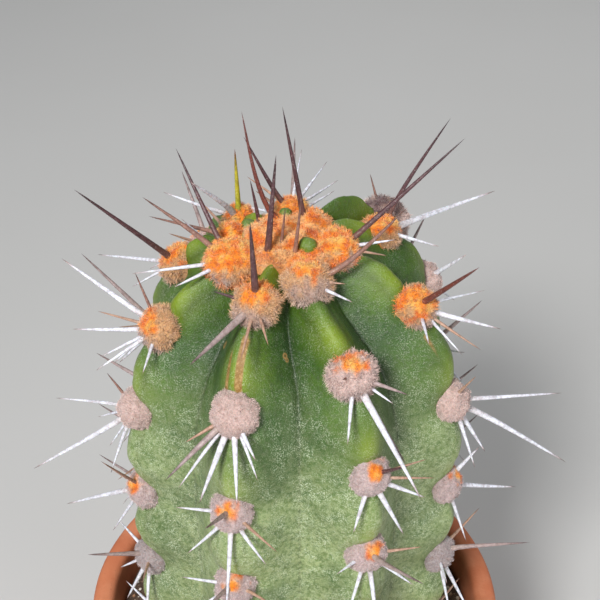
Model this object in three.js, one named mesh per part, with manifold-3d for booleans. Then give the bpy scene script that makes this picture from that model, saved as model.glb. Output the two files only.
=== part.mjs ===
// A young ribbed column cactus in a round clay pot, in millimetres, +Z up.
// The origin is the centre of the pot's underside. Azimuth 0 is the front, -Y,
// and azimuths grow towards +X. An arc is a way along a rib, down from the top.

import * as THREE from 'three';
import { mergeVertices } from 'three/addons/utils/BufferGeometryUtils.js';
import Module from 'manifold-3d';

// Pot and soil
const POT_HEIGHT = 115;
const POT_FOOT_RADIUS = 45;
const RIM_RADIUS = 66;
const RIM_HEIGHT = 24;
const RIM_STEP = 3.5;
const POT_WALL = 5;
const POT_FLOOR = 7;
const ROUNDING = 1.5;
const DRAIN_COUNT = 5;
const DRAIN_RADIUS = 2.5;
const DRAIN_RING = 24;
const DRAIN_SIDES = 10;
const SOIL_TOP = 103;
const SOIL_CROWN = 1.5;
const LATHE_SIDES = 36;

// Stem
const APEX_HEIGHT = 151;
const DOME_RADIUS = 45;
const DOME_HEIGHT = 51;
const DOME_POWER = 2.3;
const BURIED_DEPTH = 10;
const FOOT_TAPER = 6;
const FOOT_TAPER_ARC = 30;
const VALLEY_TOP = 8.5;
const VALLEY_SIDE = 6;
const VALLEY_START = 4;
const VALLEY_RISE_ARC = 24;
const VALLEY_EASE_START = 35;
const VALLEY_EASE_ARC = 60;
const VALLEY_ROUNDNESS = 1.8;
const VALLEY_AT_FOOT = 0.15;
const USUAL_RIB_ANGLE = 40;
const BULGE = 2.8;
const BULGE_LOW = 4.2;
const BULGE_GROWTH_START = 60;
const BULGE_GROWTH_ARC = 30;
const BULGE_ROUNDNESS = 0.85;
const BULGE_RISE_ARC = 18;
const BULGE_END = 2;
const BULGE_FADE_ARC = 20;
const SHOULDER_RISE_ARC = 15;
const SHOULDER_END = 45;
const SHOULDER_FADE_ARC = 30;
const WANDER_START = 13;
const WANDER_ARC = 38;
const REACH_ARC = 40;
const STEPS_PER_RIB = 6;
const ROW_ARC = 4.9;
const KNOB_DETAIL = 1;

// Areoles: the felt cushions on the crests, with their spines
const AREOLES_PER_RIB = 6;
const YOUNG_ARC = 35;
const CUSHION_HALF = 6.2;
const CUSHION_HEIGHT = 5.3;
const CUSHION_SINK = 0.6;
const ROOT_RING = 0.45;
const ROOT_DEPTH = 2;
const SPINE_CLEARANCE = 2;
const LEAST_SPINE = 5;
const SPINE_SIDES = 3;
const SPINE_FULLNESS = 1.3;
const CROWN_RADIUS = 13;
const CROWN_HEIGHT = 2.4;
const CROWN_SINK = 1.5;
const CROWN_ROOT_DEPTH = 1.6;
const GAP = 0.3;

const APEX_Z = SOIL_TOP + APEX_HEIGHT;
const DEGREE = Math.PI / 180;

// Each rib: its azimuth at the top and on the side, how far it reaches out
// against the widest ribs, the arcs of its first areoles and the pitch below them,
// and how much its shoulder is raised, where it is
const RIBS = [
  { name: 'f1', top: -23, side: -20, reach: 1, first: [24, 51, 81], pitch: 28 },
  { name: 'f2', top: 12, side: 25, reach: 1, first: [17, 42, 70], pitch: 28 },
  { name: 'r1', top: 70, side: 68, reach: 1, first: [12, 36.5, 66.5, 97], pitch: 29 },
  { name: 'b3', top: 122, side: 119, reach: 1, first: [29, 54], pitch: 26 },
  { name: 'b4', top: 140, side: 138, reach: 1, first: [39.5], pitch: 25, raised: 3.5 },
  { name: 'b2', top: 182, side: 181, reach: 1, first: [15.5], pitch: 27 },
  { name: 'b1', top: 222, side: 218, reach: 1, first: [23], pitch: 27 },
  { name: 'l2', top: 254, side: 252, reach: 0.92, first: [17.5, 39, 65], pitch: 24 },
  { name: 'l1', top: 296, side: 294, reach: 1, first: [17.5, 42, 68, 97.5], pitch: 28 },
];

// Cushions that differ from the usual size
const CUSHION_SIZES = {
  'l1-1': 1.2, 'l2-1': 0.7, 'b1-1': 0.7, 'b2-1': 0.8, 'b3-1': 0.9, 'b4-1': 1.28,
  'f2-1': 1.08, 'f2-2': 1.05, 'f2-3': 0.92, 'f1-2': 1.05,
};

// The youngest ribs show as green knobs in the wool of the top:
// [azimuth, distance from the axis, radius, height of the middle above the apex]
const KNOBS = [[33, 6.7, 2.5, 1.8], [240, 13.4, 2.2, 0.7], [191, 10.6, 1.8, 1.6]];

// Spines of the areoles in front: [clock, tilt, length, root radius]. Clock 0 points
// down the rib and 90 to the right; tilt is measured from straight outwards.
const SPINES = {
  'f1-1': [[175, 20, 25, 0.8], [-15, 68, 22, 0.85], [12, 76, 14, 0.45], [38, 72, 12, 0.4],
    [-85, 70, 8, 0.45]],
  'f1-2': [[-35, 60, 20, 0.7], [-50, 74, 11, 0.5], [-26, 74, 20, 0.5], [-8, 68, 20, 0.75],
    [18, 70, 19, 0.65], [48, 66, 10, 0.6], [36, 77, 14, 0.45]],
  'f2-1': [[100, 50, 28, 0.65], [65, 75, 7, 0.35], [40, 75, 11, 0.45]],
  'f2-2': [[55, 50, 12, 0.55], [-25, 76, 14, 0.5], [8, 63, 31, 0.8], [14, 75, 22, 0.5],
    [40, 76, 9, 0.4], [-100, 35, 6, 0.4]],
  'f2-3': [[150, 45, 12, 0.5], [110, 70, 12, 0.4], [80, 74, 14, 0.4], [60, 68, 13, 0.6],
    [-30, 74, 12, 0.6], [20, 68, 16, 0.7]],
  'r1-1': [[40, 38, 40, 0.65], [25, 72, 12, 0.45], [0, 76, 10, 0.4]],
  'r1-2': [[-120, 22, 29, 0.7], [50, 45, 16, 0.4], [18, 58, 20, 0.65], [0, 70, 17, 0.4],
    [-18, 74, 14, 0.4], [-65, 74, 11, 0.45]],
  'r1-3': [[65, 45, 33, 0.55], [25, 45, 38, 0.75], [-15, 70, 17, 0.55], [6, 66, 17, 0.65],
    [-160, 60, 14, 0.4]],
  'r1-4': [[155, 60, 12, 0.6], [55, 52, 26, 0.65], [0, 70, 20, 0.5]],
  'b3-1': [[45, 30, 38, 0.6], [0, 52, 36, 0.8], [-70, 72, 14, 0.5]],
  'b3-2': [[-135, 60, 16, 0.6], [10, 66, 18, 0.5]],
  'b4-1': [[140, 50, 11, 0.4], [20, 62, 20, 0.5]],
  'b2-1': [[-10, 60, 21, 0.4], [-32, 66, 19, 0.4], [-55, 72, 14, 0.4], [45, 70, 15, 0.4],
    [110, 30, 23, 0.6]],
  'b1-1': [[170, 33, 21, 0.65], [128, 56, 26, 0.7], [-12, 72, 13, 0.4], [30, 60, 20, 0.5]],
  'l2-1': [[20, 55, 19, 0.5], [-40, 60, 14, 0.4]],
  'l2-2': [[125, 35, 39, 0.7], [-20, 58, 30, 0.55], [20, 72, 12, 0.4]],
  'l1-1': [[-55, 42, 25, 0.65], [-10, 68, 22, 0.5], [12, 74, 14, 0.5], [-98, 48, 30, 0.65],
    [-74, 64, 15, 0.4]],
  'l1-2': [[-85, 55, 31, 0.7], [-62, 68, 18, 0.4], [-42, 50, 21, 0.6], [-22, 70, 16, 0.45],
    [-4, 62, 17, 0.5], [50, 74, 11, 0.45], [-112, 72, 14, 0.4]],
  'l1-3': [[-105, 74, 11, 0.4], [-68, 52, 25, 0.45], [-48, 70, 16, 0.4], [-28, 50, 37, 0.7],
    [-16, 70, 14, 0.4], [-2, 74, 20, 0.5]],
  'l1-4': [[165, 60, 20, 0.4], [-78, 70, 18, 0.4], [-48, 55, 31, 0.65], [-20, 70, 22, 0.5]],
};

// Spines in the wool of the top: [azimuth, distance from the axis, lean azimuth,
// lean from upright, length, root radius]
const CROWN_SPINES = [
  [-39, 10.2, 90, 5, 30, 0.75],
  [-33, 5.6, 90, 6, 12, 0.4],
  [2, 8, 90, 6, 18, 0.5],
  [150, 6, -90, 9, 35, 0.65],
  [204, 7.5, -90, 16, 34, 0.6],
  [236, 10.5, -90, 8, 15, 0.5],
];

// The rule for the spines of every other areole: clock, tilt, length and root radius,
// each moved by a seeded draw of at most its own share
const RULE_SPINES = [
  [0, 64, 24, 0.6], [48, 68, 16, 0.5], [-48, 68, 16, 0.5], [104, 66, 13, 0.45],
  [-104, 66, 13, 0.45], [178, 30, 22, 0.65],
];
const CLOCK_SWING = 14;
const TILT_SWING = 5;
const LENGTH_SWING = 0.25;
const SEED = 11;

const wasm = await Module();
wasm.setup();

function smooth(t) {
  const c = Math.min(1, Math.max(0, t));
  return c * c * (3 - 2 * c);
}

function mix(a, b, t) {
  return a + (b - a) * t;
}

// A small repeatable random number source, 0 to 1
function seededRandom(seed) {
  let state = seed >>> 0;
  return () => {
    state = (state + 0x6d2b79f5) >>> 0;
    let t = state;
    t = Math.imul(t ^ (t >>> 15), t | 1);
    t ^= t + Math.imul(t ^ (t >>> 7), t | 61);
    return ((t ^ (t >>> 14)) >>> 0) / 4294967296;
  };
}

// The crest line of the widest ribs: a super-ellipse dome, then straight down.
// It is kept by its arc, so that areoles can be set out along it.
const DOME_STEPS = 400;
const domeLine = [];
for (let i = 0; i <= DOME_STEPS; i++) {
  const a = (Math.PI / 2) * (i / DOME_STEPS);
  const radius = DOME_RADIUS * Math.sin(a) ** (2 / DOME_POWER);
  const drop = DOME_HEIGHT * (1 - Math.max(0, Math.cos(a)) ** (2 / DOME_POWER));
  const last = domeLine[i - 1];
  const arc = last ? last.arc + Math.hypot(radius - last.radius, drop - last.drop) : 0;
  domeLine.push({ radius, drop, arc });
}
const DOME_ARC = domeLine[DOME_STEPS].arc;
const SOIL_ARC = DOME_ARC + APEX_HEIGHT - DOME_HEIGHT;

// Radius, drop below the apex and outward normal of the crest line at an arc
function crestLine(arc) {
  if (arc >= DOME_ARC) {
    return { radius: DOME_RADIUS, drop: DOME_HEIGHT + arc - DOME_ARC, out: 1, up: 0 };
  }
  let i = 1;
  while (domeLine[i].arc < arc) i++;
  const a = domeLine[i - 1];
  const b = domeLine[i];
  const step = b.arc - a.arc;
  const t = (arc - a.arc) / step;
  return {
    radius: mix(a.radius, b.radius, t),
    drop: mix(a.drop, b.drop, t),
    out: (b.drop - a.drop) / step,
    up: (b.radius - a.radius) / step,
  };
}

function areoleArcs(rib) {
  const arcs = rib.first.slice(0, AREOLES_PER_RIB);
  while (arcs.length < AREOLES_PER_RIB) arcs.push(arcs[arcs.length - 1] + rib.pitch);
  return arcs;
}
for (const rib of RIBS) rib.arcs = areoleArcs(rib);

function ribAzimuth(rib, arc) {
  return mix(rib.top, rib.side, smooth((arc - WANDER_START) / WANDER_ARC));
}

// A crest stands out between two areoles, and each of them sits in the dip
function crestBump(rib, arc) {
  const marks = [0, ...rib.arcs, rib.arcs[rib.arcs.length - 1] + rib.pitch];
  let i = 1;
  while (i < marks.length - 1 && marks[i] < arc) i++;
  const t = Math.min(1, Math.max(0, (arc - marks[i - 1]) / (marks[i] - marks[i - 1])));
  const low = smooth((arc - BULGE_GROWTH_START) / BULGE_GROWTH_ARC);
  const wave = mix(BULGE, BULGE_LOW, low) * (0.5 - 0.5 * Math.cos(2 * Math.PI * t)) ** BULGE_ROUNDNESS;
  const end = SOIL_ARC - BULGE_END;
  const shoulder = (rib.raised ?? 0) * smooth(arc / SHOULDER_RISE_ARC)
    * (1 - smooth((arc - SHOULDER_END) / SHOULDER_FADE_ARC));
  return shoulder + wave * smooth(arc / BULGE_RISE_ARC) * smooth((end - arc) / BULGE_FADE_ARC);
}

// 0 on the stem, 1 at the soil, where it is a little thinner and almost round
function footShare(arc) {
  return smooth((arc - SOIL_ARC + FOOT_TAPER_ARC) / FOOT_TAPER_ARC);
}

// How deep the valleys are below the crests
function valleyDepth(arc) {
  const rise = smooth((arc - VALLEY_START) / VALLEY_RISE_ARC);
  const ease = smooth((arc - VALLEY_EASE_START) / VALLEY_EASE_ARC);
  return rise * mix(VALLEY_TOP, VALLEY_SIDE, ease) * mix(1, VALLEY_AT_FOOT, footShare(arc));
}

// A point of the skin, on the way from one rib's crest (0) to the next one's (1)
function skinPoint(index, share, arc, lift = 0) {
  const rib = RIBS[index];
  const next = RIBS[(index + 1) % RIBS.length];
  const line = crestLine(arc);
  const from = ribAzimuth(rib, arc);
  let to = ribAzimuth(next, arc);
  while (to < from) to += 360;
  const azimuth = mix(from, to, share) * DEGREE;
  const u = 1 - Math.abs(2 * share - 1);
  const near = share < 0.5 ? rib : next;
  const narrow = Math.min(1, (to - from) / USUAL_RIB_ANGLE);
  const valley = valleyDepth(arc) * narrow * Math.sin((Math.PI / 2) * u) ** VALLEY_ROUNDNESS;
  const foot = FOOT_TAPER * footShare(arc);
  const out = crestBump(near, arc) * (1 - smooth(u)) - valley - foot + lift;
  const reach = mix(rib.reach, next.reach, smooth(share));
  const radius = line.radius * mix(1, reach, smooth(arc / REACH_ARC)) + out * line.out;
  return new THREE.Vector3(
    radius * Math.sin(azimuth),
    -radius * Math.cos(azimuth),
    APEX_Z - line.drop + out * line.up,
  );
}

// A closed body from rings of points between a top point and a bottom point
function ringBody(top, rings, bottom) {
  const count = rings[0].length;
  const points = [top, ...rings.flat(), bottom];
  const at = (ring, i) => 1 + ring * count + (i % count);
  const faces = [];
  for (let i = 0; i < count; i++) {
    faces.push(0, at(0, i), at(0, i + 1));
    for (let ring = 0; ring < rings.length - 1; ring++) {
      faces.push(at(ring, i), at(ring + 1, i), at(ring + 1, i + 1));
      faces.push(at(ring, i), at(ring + 1, i + 1), at(ring, i + 1));
    }
    faces.push(points.length - 1, at(rings.length - 1, i + 1), at(rings.length - 1, i));
  }
  const geometry = new THREE.BufferGeometry();
  geometry.setAttribute('position', new THREE.Float32BufferAttribute(
    points.flatMap((p) => [p.x, p.y, p.z]), 3));
  geometry.setIndex(faces);
  return geometry;
}

// The stem without its knobs; a lift grows it outwards
function columnGeometry(lift) {
  const rings = [];
  const lowest = SOIL_ARC + BURIED_DEPTH;
  const rows = Math.round(lowest / ROW_ARC);
  for (let row = 1; row <= rows; row++) {
    const arc = (lowest * row) / rows;
    const ring = [];
    for (let rib = 0; rib < RIBS.length; rib++) {
      for (let step = 0; step < STEPS_PER_RIB; step++) {
        ring.push(skinPoint(rib, step / STEPS_PER_RIB, arc, lift));
      }
    }
    rings.push(ring);
  }
  const top = new THREE.Vector3(0, 0, APEX_Z + lift);
  const bottom = new THREE.Vector3(0, 0, rings[rings.length - 1][0].z - lift);
  return ringBody(top, rings, bottom);
}

function solidOf(geometry) {
  const plain = geometry.clone();
  plain.deleteAttribute('normal');
  plain.deleteAttribute('uv');
  const merged = mergeVertices(plain, 1e-4);
  return new wasm.Manifold(new wasm.Mesh({
    numProp: 3,
    vertProperties: new Float32Array(merged.attributes.position.array),
    triVerts: new Uint32Array(merged.index.array),
  }));
}

// The stem's body; a lift grows it outwards, to cut what sits on it
function stemSolid(lift = 0) {
  let solid = solidOf(columnGeometry(lift));
  for (const [azimuth, distance, radius, height] of KNOBS) {
    const knob = new THREE.IcosahedronGeometry(radius + lift, KNOB_DETAIL);
    knob.translate(
      distance * Math.sin(azimuth * DEGREE),
      -distance * Math.cos(azimuth * DEGREE),
      APEX_Z + height - crestLine(distance).drop,
    );
    solid = solid.add(solidOf(knob));
  }
  return solid;
}

function geometryOf(solid) {
  const mesh = solid.getMesh();
  const geometry = new THREE.BufferGeometry();
  geometry.setAttribute('position', new THREE.BufferAttribute(mesh.vertProperties, 3));
  geometry.setIndex(new THREE.BufferAttribute(mesh.triVerts, 1));
  return geometry;
}

// Place, normal, downward and rightward directions of an areole
function areoleFrame(index, arc) {
  const rib = RIBS[index];
  const line = crestLine(arc);
  const azimuth = ribAzimuth(rib, arc) * DEGREE;
  const away = new THREE.Vector3(Math.sin(azimuth), -Math.cos(azimuth), 0);
  const normal = away.clone().multiplyScalar(line.out).setZ(line.up);
  const down = away.clone().multiplyScalar(line.up).setZ(-line.out);
  const right = normal.clone().cross(down);
  return { place: skinPoint(index, 0, arc), normal, down, right };
}

// A tapering needle with few sides, from a root point along a direction
function needleSolid(root, direction, length, radius) {
  const needle = new THREE.ConeGeometry(radius * SPINE_FULLNESS, length, SPINE_SIDES, 1);
  needle.translate(0, length / 2, 0);
  needle.applyQuaternion(new THREE.Quaternion().setFromUnitVectors(
    new THREE.Vector3(0, 1, 0), direction));
  needle.translate(root.x, root.y, root.z);
  return solidOf(needle);
}

// The felt cushion of an areole: a low rounded lump seated on the crest
function cushionSolid(frame, size, grow = 0) {
  const half = CUSHION_HALF * size + grow;
  const lump = new THREE.IcosahedronGeometry(1, 1);
  lump.scale(half, half, CUSHION_HEIGHT * size + CUSHION_SINK + grow);
  lump.applyMatrix4(new THREE.Matrix4().makeBasis(frame.down, frame.right, frame.normal));
  const centre = frame.place.clone().addScaledVector(frame.normal, -CUSHION_SINK);
  lump.translate(centre.x, centre.y, centre.z);
  return solidOf(lump);
}

// The rule's spines for an areole that has no list of its own
function ruleSpines(random) {
  const swing = () => 2 * random() - 1;
  return RULE_SPINES.map(([clock, tilt, length, radius]) => [
    clock + CLOCK_SWING * swing(),
    tilt + TILT_SWING * swing(),
    length * (1 + LENGTH_SWING * swing()),
    radius,
  ]);
}

// One spine of an areole; it stops short of the soil, and is left out if that is too soon
function spineSolid(frame, [clock, tilt, length, radius]) {
  const side = frame.down.clone().multiplyScalar(Math.cos(clock * DEGREE))
    .addScaledVector(frame.right, Math.sin(clock * DEGREE));
  const direction = frame.normal.clone().multiplyScalar(Math.cos(tilt * DEGREE))
    .addScaledVector(side, Math.sin(tilt * DEGREE)).normalize();
  const root = frame.place.clone().addScaledVector(frame.normal, ROOT_DEPTH)
    .addScaledVector(side, ROOT_RING * CUSHION_HALF * Math.sin(tilt * DEGREE));
  const room = direction.z < 0
    ? (root.z - SOIL_TOP - SPINE_CLEARANCE) / -direction.z : Infinity;
  const kept = Math.min(length, room);
  return kept < LEAST_SPINE ? null : needleSolid(root, direction, kept, radius);
}

function areoleSolid(index, order, stemCutter, random) {
  const rib = RIBS[index];
  const key = `${rib.name}-${order + 1}`;
  const frame = areoleFrame(index, rib.arcs[order]);
  const drawn = ruleSpines(random);
  let solid = cushionSolid(frame, CUSHION_SIZES[key] ?? 1);
  for (const spine of SPINES[key] ?? drawn) {
    const needle = spineSolid(frame, spine);
    if (needle) solid = solid.add(needle);
  }
  return solid.subtract(stemCutter);
}

// The wool of the top with its young spines, cut clear of the areoles round it
function crownSolid(stemCutter) {
  const lump = new THREE.IcosahedronGeometry(1, 2);
  lump.scale(CROWN_RADIUS, CROWN_RADIUS, CROWN_HEIGHT + CROWN_SINK);
  lump.translate(0, 0, APEX_Z - CROWN_SINK);
  let solid = solidOf(lump);
  RIBS.forEach((rib, index) => {
    const size = CUSHION_SIZES[`${rib.name}-1`] ?? 1;
    solid = solid.subtract(cushionSolid(areoleFrame(index, rib.arcs[0]), size, GAP));
  });
  for (const [azimuth, distance, leanAzimuth, lean, length, radius] of CROWN_SPINES) {
    const rise = Math.sqrt(1 - (distance / CROWN_RADIUS) ** 2);
    const root = new THREE.Vector3(
      distance * Math.sin(azimuth * DEGREE),
      -distance * Math.cos(azimuth * DEGREE),
      APEX_Z + mix(-CROWN_SINK, CROWN_HEIGHT, rise) - CROWN_ROOT_DEPTH,
    );
    const direction = new THREE.Vector3(
      Math.sin(lean * DEGREE) * Math.sin(leanAzimuth * DEGREE),
      -Math.sin(lean * DEGREE) * Math.cos(leanAzimuth * DEGREE),
      Math.cos(lean * DEGREE),
    );
    solid = solid.add(needleSolid(root, direction, length, radius));
  }
  return solid.subtract(stemCutter);
}

// A turned body from its outline, [radius, height] from axis to axis
function turned(outline) {
  const points = outline.map(([radius, height]) => new THREE.Vector2(radius, height));
  return new THREE.LatheGeometry(points, LATHE_SIDES).rotateX(Math.PI / 2);
}

const RIM_FOOT = POT_HEIGHT - RIM_HEIGHT;
const BODY_TOP_RADIUS = RIM_RADIUS - RIM_STEP;

// The pot's inner radius at a height below the rim
function insideRadius(height) {
  return mix(POT_FOOT_RADIUS, BODY_TOP_RADIUS, height / RIM_FOOT) - POT_WALL;
}

function potGeometry() {
  let pot = solidOf(turned([
    [0, 0],
    [POT_FOOT_RADIUS - ROUNDING, 0],
    [POT_FOOT_RADIUS, ROUNDING],
    [BODY_TOP_RADIUS, RIM_FOOT],
    [RIM_RADIUS - ROUNDING, RIM_FOOT],
    [RIM_RADIUS, RIM_FOOT + ROUNDING],
    [RIM_RADIUS, POT_HEIGHT - ROUNDING],
    [RIM_RADIUS - ROUNDING, POT_HEIGHT],
    [insideRadius(RIM_FOOT) + 2 * ROUNDING, POT_HEIGHT],
    [insideRadius(RIM_FOOT) + ROUNDING, POT_HEIGHT - ROUNDING],
    [insideRadius(RIM_FOOT), RIM_FOOT],
    [insideRadius(POT_FLOOR), POT_FLOOR],
    [0, POT_FLOOR],
  ]));
  for (let i = 0; i < DRAIN_COUNT; i++) {
    const angle = (2 * Math.PI * i) / DRAIN_COUNT;
    const drain = new THREE.CylinderGeometry(
      DRAIN_RADIUS, DRAIN_RADIUS, POT_FLOOR * 3, DRAIN_SIDES);
    drain.rotateX(Math.PI / 2);
    drain.translate(DRAIN_RING * Math.cos(angle), DRAIN_RING * Math.sin(angle), 0);
    pot = pot.subtract(solidOf(drain));
  }
  return geometryOf(pot);
}

// Soil: fills the pot, with a plain hole that the stem stands in
function soilGeometry() {
  const hole = DOME_RADIUS - FOOT_TAPER + 2 * GAP;
  const holeFloor = SOIL_TOP - BURIED_DEPTH - GAP;
  return turned([
    [0, POT_FLOOR + GAP],
    [insideRadius(POT_FLOOR + GAP) - GAP, POT_FLOOR + GAP],
    [insideRadius(RIM_FOOT) - GAP, RIM_FOOT],
    [insideRadius(RIM_FOOT) - GAP, SOIL_TOP],
    [hole, SOIL_TOP + SOIL_CROWN],
    [hole, holeFloor],
    [0, holeFloor],
  ]);
}

const CLAY = new THREE.MeshStandardMaterial({ color: 0xb4694a, roughness: 0.85, metalness: 0 });
const SOIL = new THREE.MeshStandardMaterial({ color: 0x4a3a2e, roughness: 1, metalness: 0 });
const SKIN = new THREE.MeshStandardMaterial({ color: 0x6f9a4c, roughness: 0.6, metalness: 0 });
const YOUNG_FELT = new THREE.MeshStandardMaterial({ color: 0xe0914f, roughness: 1, metalness: 0 });
const OLD_FELT = new THREE.MeshStandardMaterial({ color: 0xc4a695, roughness: 1, metalness: 0 });

function named(name, geometry, material) {
  const mesh = new THREE.Mesh(geometry, material);
  mesh.name = name;
  return mesh;
}

const cactus = new THREE.Group();
cactus.add(named('pot', potGeometry(), CLAY));
cactus.add(named('soil', soilGeometry(), SOIL));
cactus.add(named('stem', geometryOf(stemSolid()), SKIN));

const stemCutter = stemSolid(GAP);
cactus.add(named('crown_felt', geometryOf(crownSolid(stemCutter)), YOUNG_FELT));
const random = seededRandom(SEED);
RIBS.forEach((rib, index) => {
  for (let order = 0; order < AREOLES_PER_RIB; order++) {
    const solid = areoleSolid(index, order, stemCutter, random);
    const felt = rib.arcs[order] < YOUNG_ARC ? YOUNG_FELT : OLD_FELT;
    cactus.add(named(`areole_${rib.name}_${order + 1}`, geometryOf(solid), felt));
  }
});

export default cactus;
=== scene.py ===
import math

import bmesh
import bpy
import numpy as np
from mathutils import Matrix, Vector


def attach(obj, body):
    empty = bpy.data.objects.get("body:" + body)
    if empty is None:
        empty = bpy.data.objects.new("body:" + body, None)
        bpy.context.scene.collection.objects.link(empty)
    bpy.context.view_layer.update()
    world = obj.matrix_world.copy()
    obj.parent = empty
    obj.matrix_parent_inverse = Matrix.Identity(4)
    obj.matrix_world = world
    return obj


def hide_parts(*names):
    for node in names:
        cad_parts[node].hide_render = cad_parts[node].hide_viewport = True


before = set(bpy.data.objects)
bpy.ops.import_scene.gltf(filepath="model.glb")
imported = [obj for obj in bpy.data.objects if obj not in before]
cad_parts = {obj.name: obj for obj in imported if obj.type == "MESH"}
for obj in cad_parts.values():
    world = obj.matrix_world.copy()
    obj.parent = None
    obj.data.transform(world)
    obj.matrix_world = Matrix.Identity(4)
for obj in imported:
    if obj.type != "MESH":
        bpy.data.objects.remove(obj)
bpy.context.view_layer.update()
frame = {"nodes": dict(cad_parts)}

# Lengths are in millimetres until a mesh is made. Azimuth 0 is the front, -Y, and
# azimuths grow towards +X. An arc is a way along a rib, down from the top.
MM = 0.001
DEGREE = math.pi / 180

# Pot and soil
POT_HEIGHT = 115
POT_FOOT_RADIUS = 45
RIM_RADIUS = 66
RIM_HEIGHT = 24
RIM_STEP = 3.5
POT_WALL = 5
POT_FLOOR = 7
ROUNDING = 1.5
DRAIN_COUNT = 5
DRAIN_RADIUS = 2.5
DRAIN_RING = 24
DRAIN_SIDES = 24
SOIL_TOP = 103
SOIL_CROWN = 1.5

# Stem
APEX_HEIGHT = 151
DOME_RADIUS = 45
DOME_HEIGHT = 51
DOME_POWER = 2.3
FOOT_TAPER = 6
FOOT_TAPER_ARC = 30
VALLEY_TOP = 8.5
VALLEY_SIDE = 6
VALLEY_START = 4
VALLEY_RISE_ARC = 24
VALLEY_EASE_START = 35
VALLEY_EASE_ARC = 60
VALLEY_ROUNDNESS = 1.8
VALLEY_AT_FOOT = 0.15
USUAL_RIB_ANGLE = 40
BULGE = 2.8
BULGE_LOW = 4.2
BULGE_GROWTH_START = 60
BULGE_GROWTH_ARC = 30
BULGE_ROUNDNESS = 0.85
BULGE_RISE_ARC = 18
BULGE_END = 2
BULGE_FADE_ARC = 20
SHOULDER_RISE_ARC = 15
SHOULDER_END = 45
SHOULDER_FADE_ARC = 30
WANDER_START = 13
WANDER_ARC = 38
REACH_ARC = 40

# Areoles
AREOLES_PER_RIB = 6
YOUNG_ARC = 35
CUSHION_HALF = 6.2
ROOT_RING = 0.45
ROOT_DEPTH = 2
SPINE_CLEARANCE = 2
LEAST_SPINE = 5
CROWN_RADIUS = 13
CROWN_HEIGHT = 2.4
CROWN_SINK = 1.5
CROWN_ROOT_DEPTH = 1.6
CUSHION_SIZES = dict(
    l1_1=1.2, l2_1=0.7, b1_1=0.7, b2_1=0.8, b3_1=0.9, b4_1=1.28,
    f2_1=1.08, f2_2=1.05, f2_3=0.92, f1_2=1.05,
)

APEX_Z = SOIL_TOP + APEX_HEIGHT

# Each rib: its azimuth at the top and on the side, how far it reaches out
# against the widest ribs, the arcs of its first areoles and the pitch below them,
# and how much its shoulder is raised
RIB_TRAITS = ("name", "top", "side", "reach", "first", "pitch", "raised")
RIBS = [dict(zip(RIB_TRAITS, row)) for row in [
    ("f1", -23, -20, 1, [24, 51, 81], 28, 0),
    ("f2", 12, 25, 1, [17, 42, 70], 28, 0),
    ("r1", 70, 68, 1, [12, 36.5, 66.5, 97], 29, 0),
    ("b3", 122, 119, 1, [29, 54], 26, 0),
    ("b4", 140, 138, 1, [39.5], 25, 3.5),
    ("b2", 182, 181, 1, [15.5], 27, 0),
    ("b1", 222, 218, 1, [23], 27, 0),
    ("l2", 254, 252, 0.92, [17.5, 39, 65], 24, 0),
    ("l1", 296, 294, 1, [17.5, 42, 68, 97.5], 28, 0),
]]
RIB_COUNT = len(RIBS)

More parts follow.
